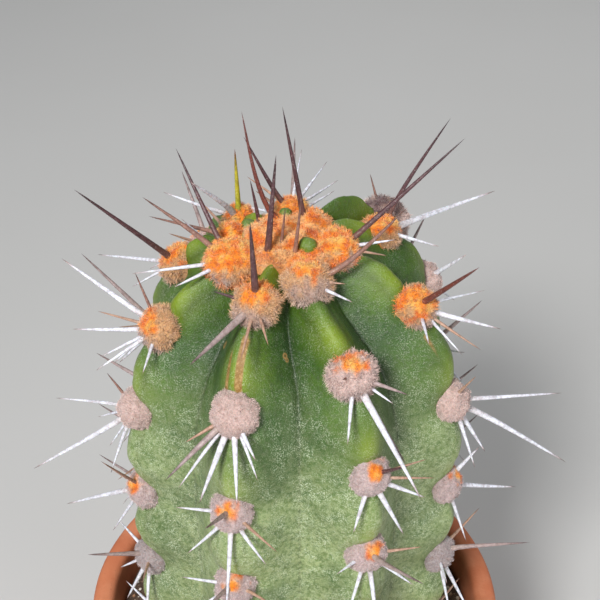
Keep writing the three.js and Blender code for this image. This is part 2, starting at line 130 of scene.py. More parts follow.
# Spines of the areoles in front: clock, tilt, length, root radius and tone. Clock 0
# points down the rib and 90 to the right; tilt is measured from straight outwards.
# A spine without a tone is white.
SPINES = dict(
    f1_1=[(175, 20, 25, 0.8, "dark"), (-15, 68, 22, 0.85, "grey"), (12, 76, 14, 0.45, "tan"),
          (38, 72, 12, 0.4, "tan"), (-85, 70, 8, 0.45, "dark")],
    f1_2=[(-35, 60, 20, 0.7, "grey"), (-50, 74, 11, 0.5, "tan"), (-26, 74, 20, 0.5), (-8, 68, 20, 0.75),
          (18, 70, 19, 0.65), (48, 66, 10, 0.6), (36, 77, 14, 0.45)],
    f2_1=[(100, 50, 28, 0.65, "brown"), (65, 75, 7, 0.35, "tan"), (40, 75, 11, 0.45)],
    f2_2=[(55, 50, 12, 0.55, "grey"), (-25, 76, 14, 0.5), (8, 63, 31, 0.8), (14, 75, 22, 0.5, "grey"),
          (40, 76, 9, 0.4), (-100, 35, 6, 0.4, "brown")],
    f2_3=[(150, 45, 12, 0.5, "dark"), (110, 70, 12, 0.4, "tan"), (80, 74, 14, 0.4, "tan"),
          (60, 68, 13, 0.6), (-30, 74, 12, 0.6), (20, 68, 16, 0.7)],
    r1_1=[(40, 38, 40, 0.65, "dark"), (25, 72, 12, 0.45), (0, 76, 10, 0.4, "tan")],
    r1_2=[(-120, 22, 29, 0.7, "red"), (50, 45, 16, 0.4), (18, 58, 20, 0.65), (0, 70, 17, 0.4, "tan"),
          (-18, 74, 14, 0.4), (-65, 74, 11, 0.45)],
    r1_3=[(65, 45, 33, 0.55), (25, 45, 38, 0.75), (-15, 70, 17, 0.55), (6, 66, 17, 0.65),
          (-160, 60, 14, 0.4, "tan")],
    r1_4=[(155, 60, 12, 0.6), (55, 52, 26, 0.65), (0, 70, 20, 0.5)],
    b3_1=[(45, 30, 38, 0.6, "dark"), (0, 52, 36, 0.8), (-70, 72, 14, 0.5)],
    b3_2=[(-135, 60, 16, 0.6), (10, 66, 18, 0.5)],
    b4_1=[(140, 50, 11, 0.4, "brown"), (20, 62, 20, 0.5)],
    b2_1=[(-10, 60, 21, 0.4), (-32, 66, 19, 0.4), (-55, 72, 14, 0.4), (45, 70, 15, 0.4, "tan"),
          (110, 30, 23, 0.6, "dark")],
    b1_1=[(170, 33, 21, 0.65, "yellow"), (128, 56, 26, 0.7), (-12, 72, 13, 0.4), (30, 60, 20, 0.5)],
    l2_1=[(20, 55, 19, 0.5, "brown"), (-40, 60, 14, 0.4, "tan")],
    l2_2=[(125, 35, 39, 0.7, "dark"), (-20, 58, 30, 0.55), (20, 72, 12, 0.4)],
    l1_1=[(-55, 42, 25, 0.65, "brown"), (-10, 68, 22, 0.5), (12, 74, 14, 0.5),
          (-98, 48, 30, 0.65, "dark"), (-74, 64, 15, 0.4)],
    l1_2=[(-85, 55, 31, 0.7), (-62, 68, 18, 0.4, "tan"), (-42, 50, 21, 0.6), (-22, 70, 16, 0.45),
          (-4, 62, 17, 0.5), (50, 74, 11, 0.45), (-112, 72, 14, 0.4, "brown")],
    l1_3=[(-105, 74, 11, 0.4, "brown"), (-68, 52, 25, 0.45), (-48, 70, 16, 0.4), (-28, 50, 37, 0.7),
          (-16, 70, 14, 0.4), (-2, 74, 20, 0.5)],
    l1_4=[(165, 60, 20, 0.4, "brown"), (-78, 70, 18, 0.4, "tan"), (-48, 55, 31, 0.65),
          (-20, 70, 22, 0.5)],
)

# Spines in the wool of the top: azimuth, distance from the axis, lean azimuth,
# lean from upright, length, root radius and tone
CROWN_SPINES = [
    (-39, 10.2, 90, 5, 30, 0.75, "dark"),
    (-33, 5.6, 90, 6, 12, 0.4, "brown"),
    (2, 8, 90, 6, 18, 0.5, "brown"),
    (150, 6, -90, 9, 35, 0.65, "dark"),
    (204, 7.5, -90, 16, 34, 0.6, "red"),
    (236, 10.5, -90, 8, 15, 0.5, "dark"),
]

# The rule for the spines of every other areole: clock, tilt, length and root radius,
# each moved by a seeded draw of at most its own share
RULE_SPINES = [
    (0, 64, 24, 0.6), (48, 68, 16, 0.5), (-48, 68, 16, 0.5), (104, 66, 13, 0.45),
    (-104, 66, 13, 0.45), (178, 30, 22, 0.65),
]
CLOCK_SWING = 14
TILT_SWING = 5
LENGTH_SWING = 0.25
SEED = 11
YOUNG_RULE_TONES = ["tan", "tan", "brown", "tan", "brown", "dark"]
OLD_RULE_TONES = ["white", "white", "white", "tan", "white", "grey"]

# Green knobs of the youngest ribs, which poke through the wool of the top:
# azimuth, distance from the axis, radius and height of the middle above the apex
KNOBS = [(33, 6.7, 2.5, 1.8), (240, 13.4, 2.2, 0.7), (191, 10.6, 1.8, 1.6)]


def smooth(t):
    c = np.clip(t, 0, 1)
    return c * c * (3 - 2 * c)


def ramp(value, start, length):
    return smooth((value - start) / length)


def mix(a, b, t):
    return a + (b - a) * t


def bell(offset, half):
    return np.exp(-(offset / half) ** 2)


def unit(ways):
    return ways / np.linalg.norm(ways, axis=-1, keepdims=True)


def full_turn(count):
    return 2 * math.pi * np.arange(count) / count


def circle(radius, height, turn):
    """Places at a radius and a height, each turned from +X."""
    return np.stack([radius * np.cos(turn), radius * np.sin(turn), height + 0 * turn], -1)


def around(azimuth, distance, height=0):
    """Places at an azimuth, a distance from the axis and a height."""
    angle = np.asarray(azimuth) * DEGREE
    return np.stack([distance * np.sin(angle), -distance * np.cos(angle), height + 0 * angle], -1)


# The small repeatable number source of the solids, so that both draw the same spines
class SeededRandom:
    def __init__(self, seed):
        self.state = seed

    def __call__(self):
        mask = 0xFFFFFFFF
        self.state = (self.state + 0x6D2B79F5) & mask
        t = self.state
        t = ((t ^ (t >> 15)) * (t | 1)) & mask
        t ^= (t + (((t ^ (t >> 7)) * (t | 61)) & mask)) & mask
        return ((t ^ (t >> 14)) & mask) / 4294967296


# The crest line of the widest ribs, kept by its arc
DOME_STEPS = 400
LINE_TURN = np.linspace(0, math.pi / 2, DOME_STEPS + 1)
LINE_RADIUS = DOME_RADIUS * np.sin(LINE_TURN) ** (2 / DOME_POWER)
LINE_DROP = DOME_HEIGHT * (1 - np.maximum(0, np.cos(LINE_TURN)) ** (2 / DOME_POWER))
LINE_STEP = np.hypot(np.diff(LINE_RADIUS), np.diff(LINE_DROP))
LINE_ARC = np.concatenate([[0], np.cumsum(LINE_STEP)])
LINE_OUT = np.diff(LINE_DROP) / LINE_STEP
LINE_UP = np.diff(LINE_RADIUS) / LINE_STEP
DOME_ARC = LINE_ARC[-1]
SOIL_ARC = DOME_ARC + APEX_HEIGHT - DOME_HEIGHT

for rib in RIBS:
    rib["arcs"] = list(rib["first"])
    while len(rib["arcs"]) < AREOLES_PER_RIB:
        rib["arcs"].append(rib["arcs"][-1] + rib["pitch"])

# Every areole: the index of its rib and its order down the rib
AREOLES = [(index, order) for index in range(RIB_COUNT) for order in range(AREOLES_PER_RIB)]


def crest_line(arc):
    """Radius, drop and outward normal (out, up) of the crest line at each arc."""
    arc = np.asarray(arc, float)
    radius = np.interp(arc, LINE_ARC, LINE_RADIUS)
    drop = np.interp(arc, LINE_ARC, LINE_DROP) + np.maximum(0, arc - DOME_ARC)
    step = np.clip(np.searchsorted(LINE_ARC, arc) - 1, 0, DOME_STEPS - 1)
    straight = arc >= DOME_ARC
    return radius, drop, np.where(straight, 1, LINE_OUT[step]), np.where(straight, 0, LINE_UP[step])


def rib_azimuth(rib, arc):
    return mix(rib["top"], rib["side"], ramp(arc, WANDER_START, WANDER_ARC))


def neighbours(index, arc):
    """A rib and the next one, and their azimuths at each arc."""
    rib, after = RIBS[index], RIBS[(index + 1) % RIB_COUNT]
    start, end = rib_azimuth(rib, arc), rib_azimuth(after, arc)
    return rib, after, start, np.where(end < start, end + 360, end)


def crest_bump(rib, arc):
    """How far a crest stands out between its areoles."""
    marks = np.array([0, *rib["arcs"], rib["arcs"][-1] + rib["pitch"]], float)
    i = np.clip(np.searchsorted(marks, arc), 1, len(marks) - 1)
    t = np.clip((arc - marks[i - 1]) / (marks[i] - marks[i - 1]), 0, 1)
    height = mix(BULGE, BULGE_LOW, ramp(arc, BULGE_GROWTH_START, BULGE_GROWTH_ARC))
    wave = height * (0.5 - 0.5 * np.cos(2 * math.pi * t)) ** BULGE_ROUNDNESS
    wave = wave * smooth(arc / BULGE_RISE_ARC) * smooth((SOIL_ARC - BULGE_END - arc) / BULGE_FADE_ARC)
    fade = 1 - ramp(arc, SHOULDER_END, SHOULDER_FADE_ARC)
    return wave + rib["raised"] * smooth(arc / SHOULDER_RISE_ARC) * fade


def foot_share(arc):
    return smooth((arc - SOIL_ARC + FOOT_TAPER_ARC) / FOOT_TAPER_ARC)


def valley_depth(arc):
    rise = ramp(arc, VALLEY_START, VALLEY_RISE_ARC)
    ease = ramp(arc, VALLEY_EASE_START, VALLEY_EASE_ARC)
    return rise * mix(VALLEY_TOP, VALLEY_SIDE, ease) * mix(1, VALLEY_AT_FOOT, foot_share(arc))


def skin(index, share, arc, lift=0):
    """Points of the skin, on the way from one rib's crest (share 0) to the next one's (1)."""
    arc = np.asarray(arc, float)
    share = np.asarray(share, float)
    rib, after, start, end = neighbours(index, arc)
    radius, drop, out_way, up_way = crest_line(arc)
    u = 1 - np.abs(2 * share - 1)
    bump = np.where(share < 0.5, crest_bump(rib, arc), crest_bump(after, arc))
    narrow = np.minimum(1, (end - start) / USUAL_RIB_ANGLE)
    valley = valley_depth(arc) * narrow * np.sin(math.pi / 2 * u) ** VALLEY_ROUNDNESS
    out = bump * (1 - smooth(u)) - valley - FOOT_TAPER * foot_share(arc) + lift
    reach = mix(rib["reach"], after["reach"], smooth(share))
    radius = radius * mix(1, reach, smooth(arc / REACH_ARC)) + out * out_way
    return around(mix(start, end, share), radius, APEX_Z - drop + out * up_way)


def areole_frame(index, order):
    """Place, normal, downward and rightward directions of an areole."""
    rib = RIBS[index]
    arc = rib["arcs"][order]
    _, _, out, up = crest_line(arc)
    azimuth = rib_azimuth(rib, arc)
    normal, down = around(azimuth, out, up), around(azimuth, up, -out)
    right = np.cross(normal, down)
    return {"place": skin(index, 0, arc), "normal": normal, "down": down, "right": right}


def linear(colours):
    """Colours given in 0 to 255 screen values, as the shader wants them."""
    c = np.array(colours) / 255
    return np.where(c <= 0.04045, c / 12.92, ((c + 0.055) / 1.055) ** 2.4)


# Mesh making

def strips(rings, turns):
    """Triangles between successive rings of points."""
    ring, i = np.meshgrid(np.arange(rings - 1), np.arange(turns), indexing="ij")
    a, b = ring * turns + i, ring * turns + (i + 1) % turns
    return np.stack([a, b, b + turns, a, b + turns, a + turns], -1).reshape(-1, 3)


def fan(centre, first, turns):
    """Triangles between a centre point and a ring of points."""
    i = np.arange(turns)
    return np.stack([np.full(turns, centre), first + i, first + (i + 1) % turns], -1)


def new_object(name, data):
    made = bpy.data.objects.new(name, data)
    bpy.context.collection.objects.link(made)
    return made


def make_piece(name, points, faces, material, colours=None, layers=None):
    """One object from points in millimetres and faces of equal size, riding on the root."""
    points = np.asarray(points, np.float32)
    faces = np.asarray(faces, np.int32)
    mesh = bpy.data.meshes.new(name)
    mesh.vertices.add(len(points))
    mesh.vertices.foreach_set("co", (points * MM).astype(np.float32).ravel())
    mesh.loops.add(faces.size)
    mesh.loops.foreach_set("vertex_index", faces.ravel())
    mesh.polygons.add(len(faces))
    mesh.polygons.foreach_set("loop_start", np.arange(0, faces.size, faces.shape[1], dtype=np.int32))
    mesh.polygons.foreach_set("use_smooth", np.full(len(faces), True))
    mesh.update(calc_edges=True)
    if colours is not None:
        layer = mesh.attributes.new("tint", "FLOAT_COLOR", "POINT")
        rgba = np.ones((len(points), 4), np.float32)
        rgba[:, :3] = colours
        layer.data.foreach_set("color", rgba.ravel())
    for key, values in (layers or {}).items():
        layer = mesh.attributes.new(key, "FLOAT", "POINT")
        layer.data.foreach_set("value", np.asarray(values, np.float32))
    mesh.materials.append(material)
    piece = new_object(name, mesh)
    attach(piece, "root")
    return piece


class Heap:
    """Gathers many small bodies with equal faces into one mesh."""

    def __init__(self):
        self.points, self.faces, self.colours, self.count = [], [], [], 0

    def add(self, points, faces, colours):
        self.points.append(points)
        self.faces.append(faces + self.count)
        self.colours.append(colours)
        self.count += len(points)

    def piece(self, name, material, slot):
        return make_piece(name, np.vstack(self.points), np.vstack(self.faces),
                          material, np.vstack(self.colours))


# Materials

class Look:
    """A node material that ends in one Principled shader."""

    def __init__(self, name, roughness, **constants):
        self.material = bpy.data.materials.new(name)
        self.material.use_nodes = True
        self.tree = self.material.node_tree
        self.shader = self.tree.nodes["Principled BSDF"]
        self.shader.inputs["Roughness"].default_value = roughness
        for key, value in constants.items():
            self.shader.inputs[key.replace("_", " ")].default_value = value
        self.place = self.node("ShaderNodeTexCoord", {}).outputs["Object"]

    def node(self, kind, inputs, **settings):
        """A new node. An input is joined to a socket, or holds a number, a list or screen values."""
        made = self.tree.nodes.new(kind)
        for key, value in settings.items():
            setattr(made, key, value)
        for key, value in inputs.items():
            if isinstance(value, bpy.types.NodeSocket):
                self.join(value, made.inputs[key])
            else:
                value = (*linear(value), 1) if isinstance(value, tuple) else value
                made.inputs[key].default_value = value
        return made

    def join(self, source, target):
        self.tree.links.new(source, target)

    def noise(self, size, detail=3, roughness=0.55):
        """Noise whose features are about size millimetres across."""
        inputs = {"Vector": self.place, "Scale": 1 / (size * MM), "Detail": detail,
                  "Roughness": roughness}
        return self.node("ShaderNodeTexNoise", inputs).outputs["Fac"]

    def far_from(self, spot):
        """Distance from a place, both in millimetres."""
        inputs = {0: self.place, 1: [value * MM for value in spot]}
        made = self.node("ShaderNodeVectorMath", inputs, operation="DISTANCE")
        return self.times(made.outputs["Value"], 1 / MM)

    def layer(self, key, output="Fac"):
        return self.node("ShaderNodeAttribute", {}, attribute_name=key).outputs[output]

    def tint(self):
        return self.layer("tint", "Color")

    def span(self, value, low, high, to_low=0, to_high=1):
        """A value between low and high, spread smoothly over another range."""
        inputs = {0: value, 1: low, 2: high, 3: to_low, 4: to_high}
        return self.node("ShaderNodeMapRange", inputs, interpolation_type="SMOOTHSTEP").outputs["Result"]

    def times(self, a, b):
        return self.node("ShaderNodeMath", {0: a, 1: b}, operation="MULTIPLY").outputs[0]

    def blend(self, factor, a, b, kind="MIX"):
        """A mix of two colours."""
        inputs = {0: factor, 6: a, 7: b}
        return self.node("ShaderNodeMix", inputs, data_type="RGBA", blend_type=kind).outputs[2]

    def colour(self, source):
        self.join(source, self.shader.inputs["Base Color"])

    def rough(self, source):
        self.join(source, self.shader.inputs["Roughness"])

    def bump(self, height, depth, strength=1):
        """Relief of a depth in millimetres, on top of the relief already there."""
        inputs = {"Height": height, "Distance": depth * MM, "Strength": strength}
        made = self.node("ShaderNodeBump", inputs)
        normal = self.shader.inputs["Normal"]
        if normal.is_linked:
            self.join(normal.links[0].from_socket, made.inputs["Normal"])
        self.join(made.outputs["Normal"], normal)


FIELD_WAVES = 14


def field(seed, size):
    """A smooth random field of about -1 to 1, whose features are about size millimetres across."""
    draw = np.random.default_rng(seed)
    way = draw.normal(size=(FIELD_WAVES, 3))
    pace = 2 * math.pi / size * draw.uniform(0.6, 1.4, (FIELD_WAVES, 1))
    way *= pace / np.linalg.norm(way, axis=1)[:, None]
    phase = draw.uniform(0, 2 * math.pi, FIELD_WAVES)

    def value(points):
        return np.sin(points @ way.T + phase).sum(-1) / math.sqrt(2 * FIELD_WAVES)
    return value


# The skin of the stem
COLUMNS = 28
COLUMN_CROWDING = 0.045
SKIN_ROW = 1
SKIN_BURIED = 6
STRIP_HALF = 3.4
GROOVE_HALF = 0.75
GROOVE_DEPTH = 0.6
GROOVE_WANDER = 0.35
GROOVE_GAP = 3
GROOVE_RISE_ARC = 3
GROOVE_END_ARC = 4
GROOVE_FADE = 0.75
GROOVE_FADE_START = 12
GROOVE_FADE_ARC = 10
WEAKER_GROOVE = 0.6
CREASE_HALF = 1.1
CREASE_DEPTH = 1.1
CREASE_START = 8
CREASE_RISE_ARC = 20
OLD_CREASE = 0.3
OLD_START = 45
OLD_ARC = 45
COLLAR_RADIUS = 7.4
COLLAR_HALF = 1.2
COLLAR_HEIGHT = 0.35
TOP_WOOL = 4
SCAR_DEPTH = 0.35
SCAR_ENDS = (2, 4)
# The colour layers: fresh green above each areole, crests, painted shade down the valleys, strongest
# near the top under the wool, grey with age, and dark lines painted as shade in the grooves and creases
FRESH_ABOVE = 9
FRESH_LENGTH = 6
FRESH_HALF = 4.2
CREST_HALF = 5
VALLEY_SHADE_SHARE = 0.17
VALLEY_SHADE_IN_OLD = 0.25
AGE_START = 22
AGE_ARC = 70
# Painted shade: dark lines along the bottom of each crease and inside the grooves
CREASE_SHADE_HALF = 0.5
CREASE_SHADE_START = 20
CREASE_SHADE_RISE_ARC = 10
GROOVE_SHADE = 0.8
# Long scars beside a crest: rib, upper and lower arc, distance from the crest and half width
SCARS = [("f1", 31, 44, 0.4, 1.1), ("f1", 32, 47, -2.9, 0.45), ("r1", 42, 52, -2.6, 0.4)]
# Small round scars: place and radius
PITS = [((-16.9, -21.4, 236.6), 1), ((-1.9, -26, 236.9), 0.8), ((-1.4, -26.4, 235.9), 0.6)]
FAR = 1000
KNOB_DETAIL = 4
# The colour layers at the very top and on the knobs, where they aren't 0
TIP_MARKS = {"crest": 1}
KNOB_MARKS = {"fresh": 0.35, "crest": 0.8, "age": 0.1}


def skin_marks(index, share, arc):
    """Relief and colour layers of the skin at each place between two crests."""
    rib, after, start, end = neighbours(index, arc)
    width = (end - start) * DEGREE * crest_line(arc)[0]
    first = share < 0.5
    aside = np.where(first, share, 1 - share) * width
    middle = np.abs(share - 0.5) * width

    def gaps(one):
        arcs = np.array(one["arcs"], float)
        place = np.searchsorted(arcs, arc, side="right")
        above = np.where(place > 0, arc - arcs[np.maximum(place - 1, 0)], arc - TOP_WOOL)
        below = np.where(place < len(arcs), arcs[np.minimum(place, len(arcs) - 1)] - arc, FAR)
        return above, below

    above, below = [np.where(first, *pair) for pair in zip(gaps(rib), gaps(after))]
    run = ramp(above, GROOVE_GAP, GROOVE_RISE_ARC) * ramp(below, GROOVE_GAP, GROOVE_END_ARC)
    run = run * (1 - GROOVE_FADE * ramp(above, GROOVE_FADE_START, GROOVE_FADE_ARC))
    phase = (2 if index % 2 else 3) * index
    wander = 0.7 * np.sin(arc / 7 + phase) + 0.3 * np.sin(arc / 2.7 + index)
    groove = run * bell(aside - STRIP_HALF - GROOVE_WANDER * wander, GROOVE_HALF)
    groove = groove * np.where(first, 1, WEAKER_GROOVE)
    young = 1 - ramp(arc, OLD_START, OLD_ARC)
    crease = ramp(arc, CREASE_START, CREASE_RISE_ARC) * mix(OLD_CREASE, 1, young)
    crease = crease * bell(middle, CREASE_HALF)
    collar = bell(np.hypot(np.minimum(above, below), aside) - COLLAR_RADIUS, COLLAR_HALF)
    scar = np.zeros(np.broadcast(share, arc).shape)
    for name, high, low, offset, half in SCARS:
        if name not in (rib["name"], after["name"]):
            continue
        signed = np.where(first, aside, FAR) if name == rib["name"] else np.where(first, FAR, -aside)
        reach = ramp(arc, high, SCAR_ENDS[0]) * (1 - ramp(arc, low, SCAR_ENDS[1]))
        scar = np.maximum(scar, reach * np.exp(-((signed - offset) / half) ** 4))
    lift = COLLAR_HEIGHT * collar - GROOVE_DEPTH * groove - CREASE_DEPTH * crease - SCAR_DEPTH * scar
    # Painted shade: a dark line along the bottom of each crease, and in the grooves
    line = bell(middle, CREASE_SHADE_HALF) * ramp(arc, CREASE_SHADE_START, CREASE_SHADE_RISE_ARC)
    layers = {
        "fresh": bell(below - FRESH_ABOVE, FRESH_LENGTH) * bell(aside, FRESH_HALF),
        "crest": bell(aside, CREST_HALF) + 0 * arc,
        # Painted shade: a darker green down the middle of each valley, strongest on the young stem under
        # the wool
        "valley_shade": bell(middle, VALLEY_SHADE_SHARE * width) * mix(VALLEY_SHADE_IN_OLD, 1, young),
        "age": ramp(arc, AGE_START, AGE_ARC) + 0 * share,
        "line": np.maximum(GROOVE_SHADE * groove, line),
        "scar": scar,
    }
    return lift, layers


def build_stem():
    turns = np.arange(COLUMNS) / COLUMNS
    shares = turns - COLUMN_CROWDING * np.sin(4 * math.pi * turns)
    lowest = SOIL_ARC + SKIN_BURIED
    rows = round(lowest / SKIN_ROW)
    arc = (lowest * np.arange(1, rows + 1) / rows)[:, None]
    points, layers = [], []
    for index in range(RIB_COUNT):
        lift, marks = skin_marks(index, shares, arc)
        points.append(skin(index, shares, arc, lift))
        layers.append(marks)
    points = np.hstack(points)
    layers = {key: np.hstack([one[key] for one in layers]) for key in layers[0]}
    count = points.shape[1]
    flat = points.reshape(-1, 3)
    away = flat - [0, 0, APEX_Z - DOME_HEIGHT]
    away[:, 2] = np.maximum(0, away[:, 2])
    lumps = 0.22 * field(11, 9)(flat) + 0.07 * field(12, 3.5)(flat)
    flat = flat + unit(away) * lumps[:, None]
    flat = np.vstack([flat, [[0, 0, APEX_Z]]])
    faces = np.vstack([strips(rows, count)[:, ::-1], fan(len(flat) - 1, 0, count)])
    layers = {key: np.append(layers[key].ravel(), TIP_MARKS.get(key, 0)) for key in layers}
    ball, ball_faces = icosphere(KNOB_DETAIL)
    for azimuth, distance, radius, height in KNOBS:
        middle = around(azimuth, distance, APEX_Z + height - crest_line(distance)[1])
        knob = middle + ball * radius * (1 + 0.05 * field(13, 3)(ball * radius))[:, None]
        faces = np.vstack([faces, ball_faces + len(flat)])
        flat = np.vstack([flat, knob])
        layers = {key: np.append(layers[key], np.full(len(ball), KNOB_MARKS.get(key, 0)))
                  for key in layers}
    piece = make_piece("stem_skin", flat, faces, skin_material(), layers=layers)
    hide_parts("stem")


def skin_material():
    look = Look("stem skin", roughness=0.42, Subsurface_Weight=0.05, Subsurface_Scale=0.002)
    broad = look.noise(16)
    cloudy = look.noise(5, 4, 0.6)
    grainy = look.noise(1.2, 3, 0.7)
    fine = look.noise(0.3, 2, 0.6)
    age = look.layer("age")
    green = look.blend(look.span(broad, 0.35, 0.68), (44, 80, 16), (74, 106, 26))
    green = look.blend(look.span(cloudy, 0.35, 0.75, 0, 0.5), green, (38, 82, 24))
    green = look.blend(look.span(grainy, 0.42, 0.72, 0, 0.55), green, (20, 44, 8))
    # Painted shade: the valley layer darkens the valleys, and the line layer darkens the grooves and
    # creases
    for key, share, tone in [("valley_shade", 0.6, (26, 54, 14)), ("crest", 0.3, (98, 128, 32)),
                             ("fresh", 0.7, (132, 152, 26)), ("line", 0.7, (20, 38, 10))]:
        green = look.blend(look.times(look.layer(key), share), green, tone)
    veil = look.times(look.span(broad, 0.3, 0.7, 0.4, 0.85), look.times(age, age))
    veil = look.times(veil, look.span(grainy, 0.3, 0.65, 0.35, 1.15))
    green = look.blend(veil, green, (160, 174, 122))
    stipple = look.times(look.span(fine, 0.5, 0.62), look.span(cloudy, 0.35, 0.65, 0.15, 1))
    stipple = look.times(stipple, look.span(grainy, 0.38, 0.55, 0.35, 1))
    stipple = look.times(stipple, look.span(age, 0, 1, 0.24, 0.75))
    green = look.blend(stipple, green, (206, 216, 188))
    scarred = look.blend(look.span(grainy, 0.4, 0.65), (142, 96, 50), (184, 142, 92))
    green = look.blend(look.span(look.layer("scar"), 0.3, 0.85, 0, 0.85), green, scarred)
    for spot, size in PITS:
        away = look.far_from(spot)
        green = look.blend(look.span(away, 0.7 * size, 1.3 * size, 0.85, 0), green, (176, 136, 84))
        green = look.blend(look.span(away, 0.2 * size, 0.7 * size, 0.85, 0), green, (66, 74, 30))
    look.colour(green)
    look.rough(look.span(cloudy, 0.3, 0.7, 0.36, 0.52))
    look.bump(fine, 0.12)
    look.bump(grainy, 0.3, 0.7)
    return look.material


# Felt and wool
CORE_DETAIL = 4
CORE_HALF = 5.6
CORE_HEIGHT = 4.9
CORE_RISE = 0.5
YOUNG_WOOL = 1.1
OLD_WOOL = 0.55
WOOLLY_ARC = 47
HAIR_WIDTH = 0.11
HAIRS_PER_AREOLE = 3100
CROWN_HAIRS = 8500
CORE_FLOOR = -0.45
# Painted shade: the felt under the wool is darkened by this factor
CORE_PAINTED_SHADE = 0.9
LUMP_HEIGHT = 0.42
CURL_HEIGHT = 0.3
HAIR_COMB = 0.75
HAIR_SCATTER = 0.38
HAIR_BEND = 0.22
HAIR_ROOT = 0.15
HAIR_LENGTHS = (0.55, 1.25)
HAIR_WIDTHS = (0.7, 1.3)
# Painted shade and light along each fibre: the root corners darker, as if shaded inside the wool, the
# tip lighter
HAIR_PAINTED_SHADING = np.array([0.55, 0.55, 1, 1, 1.3])

ORANGE = linear((250, 148, 34))
DEEP_ORANGE = linear((222, 84, 6))
PALE_ORANGE = linear((252, 192, 96))
# Painted shade for the dips between the curls of the wool
HOLLOW_SHADE = linear((150, 72, 24))
TAN = linear((212, 164, 116))
PEACH = linear((212, 184, 176))
PINK_GREY = linear((200, 178, 176))
GREY = linear((178, 164, 164))
BROWN = linear((140, 98, 76))
LOW_GREY = linear((182, 160, 156))
SCAB = linear((112, 82, 82))
CROWN_PEACH = linear((252, 188, 120))

# The looks of the cushions: how large the orange patch is, how far it lies towards
# the top of the stem and to the right, and the colour round it. The patch of one old
# cushion is a brown scab.
SCABBED = "b4_1"
FELT_BY_ORDER = [(1.15, 0.25, 0, TAN), (0.45, 0.5, 0, PEACH), (0.22, 0.8, 0, PINK_GREY),
                 (0.2, 0.85, 0.1, PINK_GREY), (0, 0.9, 0, GREY), (0, 0.9, 0, GREY)]
FELT_OWN = dict(
    f1_1=(0.72, 0.5, 0, TAN), l1_2=(0.5, 0.15, 0, TAN), r1_2=(0.72, 0.35, -0.25, TAN),
    l2_2=(0.8, 0.3, 0, TAN), b3_1=(0.9, 0.2, 0, TAN), b4_1=(0.55, 0.75, 0, PEACH),
    f1_2=(0, 1.1, 0, PEACH), f2_2=(0.34, 0.75, -0.1, PEACH), b3_2=(0, 0.9, 0, PEACH),
    f2_1=(0.7, 0.6, 0, TAN), l2_3=(0.3, 0.7, 0, PINK_GREY), f2_3=(0.26, 0.85, 0.1, PINK_GREY),
    l1_3=(0, 0.8, 0, PEACH), r1_3=(0, 0.8, 0, PEACH), l1_4=(0.24, 0.8, 0.1, PINK_GREY),
)


def icosphere(detail):
    ball = bmesh.new()
    bmesh.ops.create_icosphere(ball, subdivisions=detail, radius=1)
    ball.verts.index_update()
    points = np.array([corner.co for corner in ball.verts])
    faces = np.array([[corner.index for corner in face.verts] for face in ball.faces])
    ball.free()
    return points, faces


LUMPS = field(21, 5)
CURLS = field(22, 1.7)
FLOW = [field(31, 2.2), field(32, 2.2), field(33, 2.2)]
MOTTLE = field(41, 3.2)
FLECK = field(42, 1.1)


def cushion_places(frame, size, ways):
    """Points of a cushion's surface along unit ways in its own frame, and the outward normals."""
    radii = size * np.array([CORE_HALF, CORE_HALF, CORE_HEIGHT])
    axes = np.stack([frame["down"], frame["right"], frame["normal"]])
    normals = unit(ways / radii) @ axes
    points = frame["place"] + CORE_RISE * frame["normal"] + (ways * radii) @ axes
    swell = LUMP_HEIGHT * LUMPS(points) + CURL_HEIGHT * CURLS(points)
    return points + normals * swell[:, None], normals


def felt_tint(look, ways, points):
    """Colour of a cushion: an orange patch towards the top, and paler or greyer wool round it."""
    patch, lift, right, round_it = look
    up, side = -ways[:, 0], ways[:, 1]
    mottle, fleck = MOTTLE(points), FLECK(points)
    wide = 1.1 if patch > 0.6 else 0.85
    away = np.hypot((up - lift * 0.75) / wide, (side - right) * wide)
    share = 1 - smooth((away - patch * 0.8 + 0.2 * mottle) / 0.3)
    # The curls also sink the cushion's surface, so the deep orange, hollow shade and brown laid where
    # fold is low are painted shade in its dips, mixed with random mottle and flecks
    fold = CURLS(points)
    orange = mix(ORANGE, PALE_ORANGE, smooth((mottle + 0.1) / 0.7)[:, None])
    orange = mix(orange, DEEP_ORANGE, smooth((-0.25 - mottle - 0.5 * fold) / 0.7)[:, None] * 0.6)
    orange = mix(orange, HOLLOW_SHADE, np.clip(0.3 * fleck - 0.5 * fold - 0.25, 0, 0.45)[:, None])
    low = smooth((-up - 0.25 + 0.2 * mottle) / 0.6)
    rim = mix(round_it, LOW_GREY, (0.75 * low)[:, None])
    rim = mix(rim, BROWN, (np.clip(0.3 * fleck - 0.3 * fold - 0.05, 0, 0.6) + 0.1 * low)[:, None])
    if look is FELT_OWN[SCABBED]:
        orange = mix(SCAB, BROWN, smooth(mottle)[:, None])
    if patch <= 0:
        share = share * 0
    return mix(rim, orange, share[:, None])


